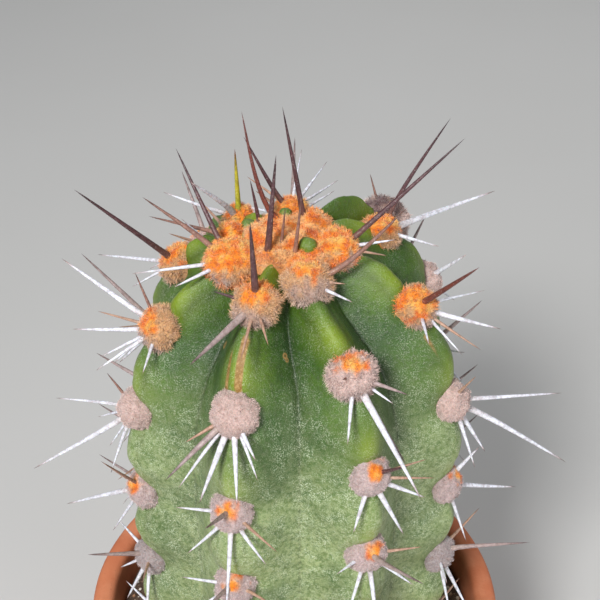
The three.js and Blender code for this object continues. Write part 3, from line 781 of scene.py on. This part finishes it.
def hairs(points, normals, tints, reach, draw):
    """Short bent wool fibres rooted at the points, each of three triangles."""
    count = len(points)
    flow = np.stack([one(points) for one in FLOW], -1)
    way = unit(normals + HAIR_COMB * flow + HAIR_SCATTER * draw.normal(size=(count, 3)))
    length = reach * draw.uniform(*HAIR_LENGTHS, count)[:, None]
    across = unit(np.cross(way, draw.normal(size=(count, 3))))
    bend = np.cross(across, way) * draw.normal(0, HAIR_BEND, count)[:, None]
    width = HAIR_WIDTH * draw.uniform(*HAIR_WIDTHS, count)[:, None] / 2
    root = points - normals * HAIR_ROOT
    middle = root + way * length * 0.55 + bend * length
    tip = root + (way + flow * 0.15) * length - bend * length * 0.4
    vertices = np.stack([root - across * width, root + across * width, middle - across * width * 0.8,
                         middle + across * width * 0.8, tip], 1)
    start = np.arange(count)[:, None, None] * 5
    faces = (start + np.array([[0, 1, 3], [0, 3, 2], [2, 3, 4]])).reshape(-1, 3)
    # Painted shade at each fibre's root and painted light at its tip, with a random tone on top
    shade = HAIR_PAINTED_SHADING[None, :, None] * draw.uniform(0.85, 1.2, (count, 1, 1))
    colours = np.clip(tints[:, None, :] * shade, 0, 1).reshape(-1, 3)
    return vertices.reshape(-1, 3), faces, colours


def felt_material():
    look = Look("felt", roughness=0.95, Sheen_Weight=0.25, Sheen_Roughness=0.5,
                Subsurface_Weight=0.1, Subsurface_Scale=0.001)
    grain = look.noise(0.5, 2)
    tint = look.blend(look.span(grain, 0.3, 0.7, 0, 0.35), look.tint(), (96, 62, 40), "MULTIPLY")
    look.colour(tint)
    look.bump(grain, 0.2)
    return look.material


def wool_material():
    look = Look("wool", roughness=0.85, Sheen_Weight=0.15)
    grain = look.noise(1.2, 2)
    look.colour(look.blend(look.span(grain, 0.3, 0.75, 0, 0.25), look.tint(), (250, 240, 232)))
    return look.material


def random_ways(draw, count, lowest):
    """Unit ways spread over a ball above a lowest height."""
    height = draw.uniform(lowest, 1, count)
    angle = draw.uniform(0, 2 * math.pi, count)
    return circle(np.sqrt(1 - height ** 2), height, angle)


def areole_groups():
    """The areoles by piece: the youngest ones together, the others by their rib."""
    young = [one for one in AREOLES if RIBS[one[0]]["arcs"][one[1]] < YOUNG_ARC]
    groups = [("young", "young_felt", young)]
    for index, rib in enumerate(RIBS):
        old = [one for one in AREOLES if one[0] == index and one not in young]
        groups.append((rib["name"], "old_felt", old))
    return groups


def areole_key(index, order):
    return f"{RIBS[index]['name']}_{order + 1}"


def build_felt(felt, wool):
    ball, ball_faces = icosphere(CORE_DETAIL)
    draw = np.random.default_rng(5)
    for name, slot, members in areole_groups():
        cores, fibres = Heap(), Heap()
        for index, order in members:
            key = areole_key(index, order)
            size = CUSHION_SIZES.get(key, 1)
            here = areole_frame(index, order)
            look = FELT_OWN.get(key, FELT_BY_ORDER[order])
            points, _ = cushion_places(here, size, ball)
            # The core's colour is darkened as painted shade under the wool
            cores.add(points, ball_faces, felt_tint(look, ball, points) * CORE_PAINTED_SHADE)
            ways = random_ways(draw, round(HAIRS_PER_AREOLE * size ** 2), CORE_FLOOR)
            roots, normals = cushion_places(here, size, ways)
            rim = smooth((0.45 - ways[:, 2]) / 0.6)
            length = YOUNG_WOOL if RIBS[index]["arcs"][order] < WOOLLY_ARC else OLD_WOOL
            reach = length * (1 + 0.35 * rim)
            fibres.add(*hairs(roots, normals, felt_tint(look, ways, roots), reach[:, None], draw))
        piece = cores.piece(f"felt_{name}", felt, slot)
        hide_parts(*["areole_" + areole_key(*one) for one in members])
        fibres.piece(f"wool_{name}", wool, slot)


SLOPE_STEP = 0.3
# Puffs of the wool of the top: azimuth, distance from the axis, radius and height
CROWN_PUFFS = [(138, 8, 4.6, 2.4), (262, 9, 4.4, 1.6), (-27, 11.5, 4.2, 1.2), (75, 4, 3, 0.8),
               (200, 4, 3.4, 0.9), (-75, 5.5, 3, 0.7), (-5, 4.5, 3, 0.5)]


def crown_place(x, y):
    """A point of the wool of the top above a place, and its outward normal."""
    def height(px, py):
        distance = np.hypot(px, py)
        rise = np.sqrt(np.maximum(0.02, 1 - (distance / (CROWN_RADIUS + 1)) ** 2))
        base = APEX_Z + mix(-CROWN_SINK, CROWN_HEIGHT, rise)
        for azimuth, far, radius, puff in CROWN_PUFFS:
            middle = around(azimuth, far)
            near = np.hypot(px - middle[0], py - middle[1]) / radius
            base = base + puff * np.sqrt(np.maximum(0, 1 - near ** 2))
        spot = np.stack([px, py, 0 * px], -1)
        return base + 0.45 * CROWN_LUMPS(spot) + 0.2 * CURLS(spot)

    z, step = height(x, y), SLOPE_STEP
    slope = np.stack([z - height(x + step, y), z - height(x, y + step), np.full_like(z, step)], -1)
    return np.stack([x, y, z], -1), unit(slope)


CROWN_LUMPS = field(23, 7)
CROWN_EDGE = field(24, 8)
CROWN_LOBE = -25
CROWN_RINGS = 26
CROWN_TURNS = 72
CROWN_SKIRT = 3


def crown_reach(angle):
    front = np.cos(angle - CROWN_LOBE * DEGREE)
    ragged = 0.07 * CROWN_EDGE(circle(20, 0, angle))
    return CROWN_RADIUS * (0.97 + ragged + 0.16 * np.maximum(0, front) ** 12)


def crown_tint(points):
    mottle = LUMPS(points * [1, 1, 0] + 50)
    # The curls also sink the top's felt, so the hollow shade laid where fold is low is painted shade in
    # its dips, mixed with random flecks
    fleck, fold = FLECK(points), CURLS(points * [1, 1, 0])
    tint = mix(CROWN_PEACH, ORANGE, smooth((mottle + 0.25) / 0.5)[:, None])
    tint = mix(tint, DEEP_ORANGE, ramp(mottle, 0.35, 0.5)[:, None] * 0.5)
    tint = mix(tint, HOLLOW_SHADE, np.clip(0.3 * fleck - 0.6 * fold - 0.25, 0, 0.5)[:, None])
    edge = smooth((np.hypot(points[:, 0], points[:, 1]) / CROWN_RADIUS - 0.8) / 0.25)
    return mix(tint, TAN, 0.6 * edge[:, None])


def build_crown(felt, wool):
    draw = np.random.default_rng(6)
    angle = full_turn(CROWN_TURNS)
    rings = []
    for ring in range(1, CROWN_RINGS + 1):
        far = crown_reach(angle) * (ring / CROWN_RINGS)
        points, _ = crown_place(far * np.sin(angle), -far * np.cos(angle))
        rings.append(points)
    skirt = rings[-1] - [0, 0, CROWN_SKIRT]
    points = np.vstack([*rings, skirt, crown_place(np.zeros(1), np.zeros(1))[0]])
    faces = np.vstack([strips(CROWN_RINGS + 1, CROWN_TURNS)[:, ::-1],
                            fan(len(points) - 1, 0, CROWN_TURNS)])
    # The top's felt is darkened as painted shade under its wool
    piece = make_piece("felt_crown", points, faces, felt,
                       colours=crown_tint(points) * CORE_PAINTED_SHADE)
    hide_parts("crown_felt")
    turn = draw.uniform(0, 2 * math.pi, CROWN_HAIRS)
    far = crown_reach(turn) * np.sqrt(draw.uniform(0, 1.06, CROWN_HAIRS)).clip(0, 1)
    roots, normals = crown_place(far * np.sin(turn), -far * np.cos(turn))
    clear = np.ones(CROWN_HAIRS, bool)
    for azimuth, distance, radius, _ in KNOBS:
        knob = around(azimuth, distance)
        clear &= np.hypot(roots[:, 0] - knob[0], roots[:, 1] - knob[1]) > radius * 0.9
    roots, normals = roots[clear], normals[clear]
    reach = YOUNG_WOOL * np.ones((len(roots), 1))
    points, faces, colours = hairs(roots, normals, crown_tint(roots), reach, draw)
    make_piece("wool_crown", points, faces, wool, colours=colours)


# Spines
SPINE_SIDES = 8
SPINE_RINGS = 10
SPINE_TAPER = 0.62
SPINE_FULLNESS = 1.28
SPINE_SWELL = 0.18
SPINE_SWELL_SHARE = 0.08

# Colours of a spine's root, middle and tip
TONES = dict(
    dark=[(116, 78, 66), (88, 56, 60), (58, 38, 44)],
    brown=[(172, 130, 108), (146, 106, 92), (92, 60, 52)],
    tan=[(206, 176, 152), (188, 150, 128), (140, 96, 76)],
    grey=[(188, 168, 158), (168, 148, 146), (104, 84, 84)],
    white=[(216, 208, 208), (230, 232, 242), (150, 110, 96)],
    red=[(140, 72, 52), (116, 60, 52), (104, 62, 58)],
    yellow=[(176, 182, 60), (196, 188, 52), (112, 36, 28)],
)
# Spines that are bent near the root: how far the middle stands off the straight line,
# which for the red one on top is a way as well
CROWN_BEND = (-2.4, 0, 0)
BENDS = {("f2_1", 0): 2.2, ("l1_1", 0): -0.8, ("r1_3", 1): 1.2}


def spine_body(root, direction, length, radius, tone, draw, bend=None):
    """A tapering round spine, slightly curved, with a swollen root."""
    t = np.linspace(0, 1, SPINE_RINGS + 1) ** 0.9
    aside = unit(np.cross(direction, draw.normal(size=3)))
    other = np.cross(direction, aside)
    if bend is None:
        curve = aside * draw.normal(0, 0.012) * length
    else:
        curve = bend * (aside if np.isscalar(bend) else 1)
    middle = root + direction * (t * length)[:, None] + curve * np.sin(math.pi * t ** 0.6)[:, None]
    swollen = 1 + SPINE_SWELL * bell(t, SPINE_SWELL_SHARE)
    across = radius * SPINE_FULLNESS * (1 - t) ** SPINE_TAPER * swollen
    turn = full_turn(SPINE_SIDES)
    ring = np.cos(turn)[:, None] * aside + np.sin(turn)[:, None] * other
    points = (middle[:-1, None] + across[:-1, None, None] * ring[None]).reshape(-1, 3)
    points = np.vstack([points, middle[-1:]])
    last = (SPINE_RINGS - 1) * SPINE_SIDES
    faces = np.vstack([strips(SPINE_RINGS, SPINE_SIDES), fan(len(points) - 1, last, SPINE_SIDES)])
    low, mid, high = linear(TONES[tone])
    along = np.append(np.repeat(t[:-1], SPINE_SIDES), 1)[:, None]
    tip = 0.2 if tone in ("white", "tan") else 0.4
    colours = mix(low, mid, smooth(along / 0.35))
    colours = mix(colours, high, smooth((along - 1 + tip) / tip))
    return points, faces, colours * draw.uniform(0.9, 1.08, (len(points), 1))


def areole_spines(index, order, random):
    """Spines of an areole, from its own list or from the rule."""
    def swing(most):
        return most * (2 * random() - 1)

    drawn = []
    tones = YOUNG_RULE_TONES if order == 0 else OLD_RULE_TONES
    for (clock, tilt, length, radius), tone in zip(RULE_SPINES, tones):
        clock += swing(CLOCK_SWING)
        tilt += swing(TILT_SWING)
        drawn.append((clock, tilt, length * (1 + swing(LENGTH_SWING)), radius, tone))
    return SPINES.get(areole_key(index, order), drawn)


def build_spines():
    material = spine_material()
    random = SeededRandom(SEED)
    lists = {one: areole_spines(*one, random) for one in AREOLES}
    draw = np.random.default_rng(9)
    for name, slot, members in areole_groups():
        heap = Heap()
        for index, order in members:
            here = areole_frame(index, order)
            for number, (clock, tilt, length, radius, *tone) in enumerate(lists[index, order]):
                side = here["down"] * math.cos(clock * DEGREE) + here["right"] * math.sin(clock * DEGREE)
                way = unit(here["normal"] * math.cos(tilt * DEGREE) + side * math.sin(tilt * DEGREE))
                root = here["place"] + ROOT_DEPTH * here["normal"]
                root = root + ROOT_RING * CUSHION_HALF * math.sin(tilt * DEGREE) * side
                room = (root[2] - SOIL_TOP - SPINE_CLEARANCE) / -way[2] if way[2] < 0 else FAR
                if min(length, room) < LEAST_SPINE:
                    continue
                bend = BENDS.get((areole_key(index, order), number))
                tone = tone[0] if tone else "white"
                heap.add(*spine_body(root, way, min(length, room), radius, tone, draw, bend))
        piece = heap.piece(f"spines_{name}", material, slot)
        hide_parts(*["areole_" + areole_key(*one) for one in members])
    heap = Heap()
    for azimuth, distance, lean_azimuth, lean, length, radius, tone in CROWN_SPINES:
        rise = math.sqrt(1 - (distance / CROWN_RADIUS) ** 2)
        height = APEX_Z + mix(-CROWN_SINK, CROWN_HEIGHT, rise) - CROWN_ROOT_DEPTH
        root = around(azimuth, distance, height)
        way = around(lean_azimuth, math.sin(lean * DEGREE), math.cos(lean * DEGREE))
        bend = np.array(CROWN_BEND) if tone == "red" else None
        heap.add(*spine_body(root, way, length, radius, tone, draw, bend))
    piece = heap.piece("spines_crown", material, "young_felt")
    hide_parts("crown_felt")


def spine_material():
    look = Look("spines", roughness=0.5, Subsurface_Weight=0.04, Subsurface_Scale=0.001)
    grain = look.noise(1.1, 3, 0.6)
    fine = look.noise(0.35, 2)
    tint = look.blend(look.span(grain, 0.35, 0.7, 0, 0.45), look.tint(), (112, 78, 66), "MULTIPLY")
    tint = look.blend(look.span(fine, 0.55, 0.75, 0, 0.25), tint, (236, 226, 220))
    look.colour(tint)
    look.rough(look.span(grain, 0.3, 0.7, 0.4, 0.65))
    look.bump(fine, 0.05)
    return look.material


# Pot and soil
POT_TURNS = 144
POT_STEP = 2.5
ROUND_STEPS = 4
MOST_OF_SIDE = 0.45
THROW_DEPTH = 0.05
THROW_PITCH = 3.1
THROWN_FROM = 30
THROWN_ABOVE = 4
WARP_DEPTH = 0.12
WARP_SIZE = 30
SOIL_TURNS = 120
SOIL_RINGS = 22
SOIL_INNER_EDGE = 6
SOIL_OUTER_EDGE = 12
SOIL_GAP = 0.3
STEM_SINK = 1.5
GRIT_COUNT = 1100
GRIT_DETAIL = 2
GRIT_SIZES = (0.8, 2.6)
GRIT_INSET = 1.2
GRIT_ROUGHNESS = 0.22
FINE_GRIT = 0.7
FINE_SHARE = 0.6
GRIT_TONES = linear([(168, 146, 122), (120, 100, 82), (198, 184, 164), (92, 74, 60), (150, 112, 84),
                     (214, 206, 194)])


def turned_mesh(outline, turns):
    """Points and triangles of a body turned round the axis, from its outline from axis to axis."""
    outline = np.array(outline, float)
    body = outline[1:-1]
    points = circle(body[:, :1], body[:, 1:], full_turn(turns)).reshape(-1, 3)
    points = np.vstack([points, [[0, 0, outline[0, 1]], [0, 0, outline[-1, 1]]]])
    start, end = len(points) - 2, len(points) - 1
    last = (len(body) - 1) * turns
    return points, np.vstack([strips(len(body), turns), fan(start, 0, turns)[:, ::-1],
                                   fan(end, last, turns)])


def rounded(corners, radius):
    """The outline with round corners: each has its radius, height and share of the rounding."""
    out = []
    for i, (r, z, share) in enumerate(corners):
        if share == 0:
            out.append((r, z))
            continue
        here = np.array([r, z])
        ways = [np.array(corners[j][:2]) - here for j in (i - 1, i + 1)]
        back = min(radius * share, *[MOST_OF_SIDE * np.linalg.norm(way) for way in ways])
        a, b = [here + unit(way) * back for way in ways]
        for t in np.arange(ROUND_STEPS + 1) / ROUND_STEPS:
            out.append(tuple((1 - t) ** 2 * a + 2 * t * (1 - t) * here + t ** 2 * b))
    return out


def filled_in(outline, step):
    """The outline with no stretch longer than a step."""
    out = [outline[0]]
    for a, b in zip(outline, outline[1:]):
        a, b = np.array(a), np.array(b)
        parts = max(1, math.ceil(np.linalg.norm(b - a) / step))
        out += [tuple(a + (b - a) * k / parts) for k in range(1, parts + 1)]
    return out


RIM_FOOT = POT_HEIGHT - RIM_HEIGHT
BODY_TOP_RADIUS = RIM_RADIUS - RIM_STEP


def inside_radius(height):
    return mix(POT_FOOT_RADIUS, BODY_TOP_RADIUS, height / RIM_FOOT) - POT_WALL


def build_pot():
    inner = inside_radius(RIM_FOOT)
    corners = [
        (0, 0, 0), (POT_FOOT_RADIUS, 0, 1), (BODY_TOP_RADIUS, RIM_FOOT, 0.5), (RIM_RADIUS, RIM_FOOT, 1),
        (RIM_RADIUS, POT_HEIGHT, 1.3), (inner + ROUNDING, POT_HEIGHT, 1.3), (inner, RIM_FOOT, 0),
        (inside_radius(POT_FLOOR), POT_FLOOR, 0.6), (0, POT_FLOOR, 0),
    ]
    points, faces = turned_mesh(filled_in(rounded(corners, 2 * ROUNDING), POT_STEP), POT_TURNS)
    throw = THROW_DEPTH * np.sin(points[:, 2] * 2 * math.pi / THROW_PITCH)
    throw = throw + WARP_DEPTH * field(51, WARP_SIZE)(points)
    far = np.hypot(points[:, 0], points[:, 1])
    side = (far > THROWN_FROM) & (points[:, 2] > THROWN_ABOVE)
    away = points * [1, 1, 0] / np.maximum(far, 1)[:, None]
    points = points + away * (throw * side)[:, None]
    piece = make_piece("pot_clay", points, faces, clay_material())
    drill(piece)
    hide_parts("pot")


def drill(piece):
    """Take the drain holes out of the pot's floor."""
    low, high = -POT_FLOOR, 2 * POT_FLOOR
    outline = [(0, low), (DRAIN_RADIUS, low), (DRAIN_RADIUS, high), (0, high)]
    rod, rod_faces = turned_mesh(outline, DRAIN_SIDES)
    places = circle(DRAIN_RING, 0, full_turn(DRAIN_COUNT))
    points = (rod[None] + places[:, None]).reshape(-1, 3) * MM
    faces = np.vstack([rod_faces + hole * len(rod) for hole in range(DRAIN_COUNT)])
    mesh = bpy.data.meshes.new("rods")
    mesh.from_pydata(points.tolist(), [], faces.tolist())
    cutter = new_object("rods", mesh)
    cut = piece.modifiers.new("drain", "BOOLEAN")
    cut.operation = "DIFFERENCE"
    cut.object = cutter
    cut.solver = "EXACT"
    whole = piece.evaluated_get(bpy.context.evaluated_depsgraph_get())
    drilled = bpy.data.meshes.new_from_object(whole)
    piece.modifiers.clear()
    piece.data = drilled
    bpy.data.objects.remove(cutter)
    bpy.data.meshes.remove(mesh)


def clay_material():
    look = Look("clay", roughness=0.85)
    broad = look.noise(34)
    patchy = look.noise(7, 4, 0.6)
    fine = look.noise(0.9, 3, 0.7)
    clay = look.blend(look.span(broad, 0.3, 0.7), (186, 104, 68), (204, 124, 84))
    clay = look.blend(look.span(patchy, 0.35, 0.75, 0, 0.35), clay, (214, 150, 114))
    clay = look.blend(look.span(fine, 0.6, 0.75, 0, 0.4), clay, (146, 78, 52))
    look.colour(clay)
    look.rough(look.span(patchy, 0.3, 0.7, 0.78, 0.92))
    look.bump(fine, 0.12)
    look.bump(patchy, 0.2, 0.5)
    return look.material


def build_soil():
    outer = inside_radius(RIM_FOOT) - SOIL_GAP
    hole = DOME_RADIUS - FOOT_TAPER - STEM_SINK
    turn = full_turn(SOIL_TURNS)
    rows = []
    for share in np.arange(SOIL_RINGS + 1) / SOIL_RINGS:
        far = mix(hole, outer, share)
        rows.append(circle(far, SOIL_TOP + SOIL_CROWN * (1 - share), turn))
    rows = [rows[0] - [0, 0, SOIL_INNER_EDGE], *rows, rows[-1] - [0, 0, SOIL_OUTER_EDGE]]
    points = np.vstack(rows)
    points[:, 2] += 0.5 * field(61, 6)(points) + 0.3 * field(62, 2.5)(points)
    piece = make_piece("soil_bed", points, strips(len(rows), SOIL_TURNS), soil_material())
    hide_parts("soil")
    build_grit(hole, outer)


def build_grit(hole, outer):
    draw = np.random.default_rng(14)
    ball, ball_faces = icosphere(GRIT_DETAIL)
    heap = Heap()
    rough = field(63, 1.1)
    for _ in range(GRIT_COUNT):
        far = math.sqrt(draw.uniform(hole ** 2, (outer - GRIT_INSET) ** 2))
        angle = draw.uniform(0, 2 * math.pi)
        size = draw.uniform(*GRIT_SIZES) / 2 * (FINE_GRIT if draw.uniform() < FINE_SHARE else 1)
        shape = ball * size * draw.uniform([0.8, 0.6, 0.5], [1.2, 1, 0.8])
        shape = shape @ np.linalg.qr(draw.normal(size=(3, 3)))[0]
        shape = shape * (1 + GRIT_ROUGHNESS * rough(shape + draw.uniform(-50, 50, 3)))[:, None]
        up = SOIL_TOP + SOIL_CROWN * (outer - far) / (outer - hole) + size * draw.uniform(0, 0.5)
        tone = GRIT_TONES[draw.integers(len(GRIT_TONES))] * draw.uniform(0.75, 1.1)
        heap.add(shape + circle(far, up, angle), ball_faces, np.tile(tone, (len(ball), 1)))
    heap.piece("soil_grit", grit_material(), "soil")


def grit_material():
    look = Look("grit", roughness=0.85)
    grain = look.noise(0.7, 3, 0.6)
    look.colour(look.blend(look.span(grain, 0.35, 0.7, 0, 0.4), look.tint(), (120, 96, 78), "MULTIPLY"))
    look.bump(grain, 0.1)
    return look.material


def soil_material():
    look = Look("soil", roughness=0.95)
    broad = look.noise(9)
    fine = look.noise(1.1, 4, 0.7)
    earth = look.blend(look.span(broad, 0.3, 0.7), (62, 46, 36), (92, 72, 56))
    look.colour(look.blend(look.span(fine, 0.5, 0.72), earth, (140, 118, 98)))
    look.bump(fine, 0.5)
    return look.material


# Camera, light and floor
PIXEL = 0.255
VIEW_PIXELS = 1150
IMAGE_PIXELS = 600
SENSOR = 36
APEX_PIXEL = (293, 239)
CAMERA_RISE = 37
# The lamps and the floor, in metres: each lamp's name, place and size, and its power in watts
LAMPS = [("key", (-0.3, -0.72, 0.95), 0.22, 14), ("fill", (0.8, -0.75, 0.45), 0.7, 3.2),
         ("back", (0.2, 0.9, 0.8), 0.6, 2.5)]
LAMP_AIM = (0, 0, 0.19)
FLOOR_HALF = 3
SKY_COLOUR = (0.86, 0.9, 0.95, 1)
SKY_STRENGTH = 0.26


def build_camera():
    rise = CAMERA_RISE * DEGREE
    forward = np.array([0, math.cos(rise), -math.sin(rise)])
    up = np.array([0, math.sin(rise), math.cos(rise)])
    right = np.array([1, 0, 0])
    across = (APEX_PIXEL[0] - IMAGE_PIXELS / 2) * PIXEL
    above = (IMAGE_PIXELS / 2 - APEX_PIXEL[1]) * PIXEL
    place = np.array([0, 0, APEX_Z]) - across * right - above * up - VIEW_PIXELS * PIXEL * forward
    data = bpy.data.cameras.new("camera")
    data.sensor_width = SENSOR
    data.lens = VIEW_PIXELS * SENSOR / IMAGE_PIXELS
    data.clip_start = 0.01
    camera = new_object("camera", data)
    camera.location = Vector(place * MM)
    camera.rotation_euler = (math.pi / 2 - rise, 0, 0)
    bpy.context.scene.camera = camera


def lamp(name, place, size, power):
    data = bpy.data.lights.new(name, "AREA")
    data.energy = power
    data.size = size
    light = new_object(name, data)
    light.location = place
    way = Vector(LAMP_AIM) - Vector(place)
    light.rotation_euler = way.to_track_quat("-Z", "Y").to_euler()


def build_studio():
    mesh = bpy.data.meshes.new("floor")
    corners = [(-1, -1, 0), (1, -1, 0), (1, 1, 0), (-1, 1, 0)]
    mesh.from_pydata(np.multiply(corners, FLOOR_HALF).tolist(), [], [(0, 1, 2, 3)])
    floor = new_object("floor", mesh)
    look = Look("floor", roughness=0.8)
    look.colour(look.blend(look.noise(200, 2), (200, 199, 196), (206, 205, 203)))
    mesh.materials.append(look.material)
    for row in LAMPS:
        lamp(*row)
    world = bpy.data.worlds.new("world")
    world.use_nodes = True
    sky = world.node_tree.nodes["Background"].inputs
    sky["Color"].default_value = SKY_COLOUR
    sky["Strength"].default_value = SKY_STRENGTH
    bpy.context.scene.world = world
    bpy.context.scene.view_settings.view_transform = "Standard"


build_camera()
build_stem()
felt = felt_material()
wool = wool_material()
build_felt(felt, wool)
build_crown(felt, wool)
build_spines()
build_pot()
build_soil()
build_studio()
